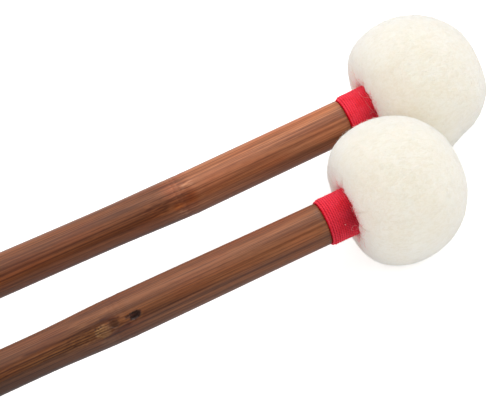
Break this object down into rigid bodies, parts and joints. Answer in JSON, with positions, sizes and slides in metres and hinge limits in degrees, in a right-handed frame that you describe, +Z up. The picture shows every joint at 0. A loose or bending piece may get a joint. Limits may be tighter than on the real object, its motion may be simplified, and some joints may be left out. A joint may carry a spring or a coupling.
{
  "type": "timpani mallet",
  "caption": "Timpani mallets: heat-darkened bamboo shafts with layered soft felt ball heads, tied on with red thread, lying side by side.",
  "frame": {"origin": "bottom centre of the pair's bounding box, on the surface that the mallets lie on", "axes": "+X along the shafts towards the heads, +Z up, the mallet with the leading head at +Y"},
  "size_m": [0.4046, 0.0844, 0.0461],
  "materials": {
    "bamboo": "satin, heat-darkened cane",
    "dowel_wood": "plain beech",
    "core_wood": "turned, matte",
    "firm_felt": "pressed wool felt",
    "tie_thread": "plain thread",
    "soft_felt": "soft fleecy wool felt",
    "binding_thread": "twisted thread with a slight sheen"
  },
  "bodies": {
    "front_mallet": {"front_shaft": "bamboo", "front_butt_plug": "dowel_wood", "front_head_dowel": "dowel_wood", "front_core": "core_wood", "front_felt_roll": "firm_felt", "front_tip_pad": "firm_felt", "front_neck_pad": "firm_felt", "front_liner": "firm_felt", "front_liner_tie": "tie_thread", "front_outer_cover": "soft_felt", "front_binding": "binding_thread"},
    "back_mallet": {"back_shaft": "bamboo", "back_butt_plug": "dowel_wood", "back_head_dowel": "dowel_wood", "back_core": "core_wood", "back_felt_roll": "firm_felt", "back_tip_pad": "firm_felt", "back_neck_pad": "firm_felt", "back_liner": "firm_felt", "back_liner_tie": "tie_thread", "back_outer_cover": "soft_felt", "back_binding": "binding_thread"}
  },
  "joints": [
    {"name": "back_mallet_lift", "type": "slide", "parent": "front_mallet", "child": "back_mallet", "axis": [0, 0, 1], "range_m": [0, 0.12]}
  ]
}
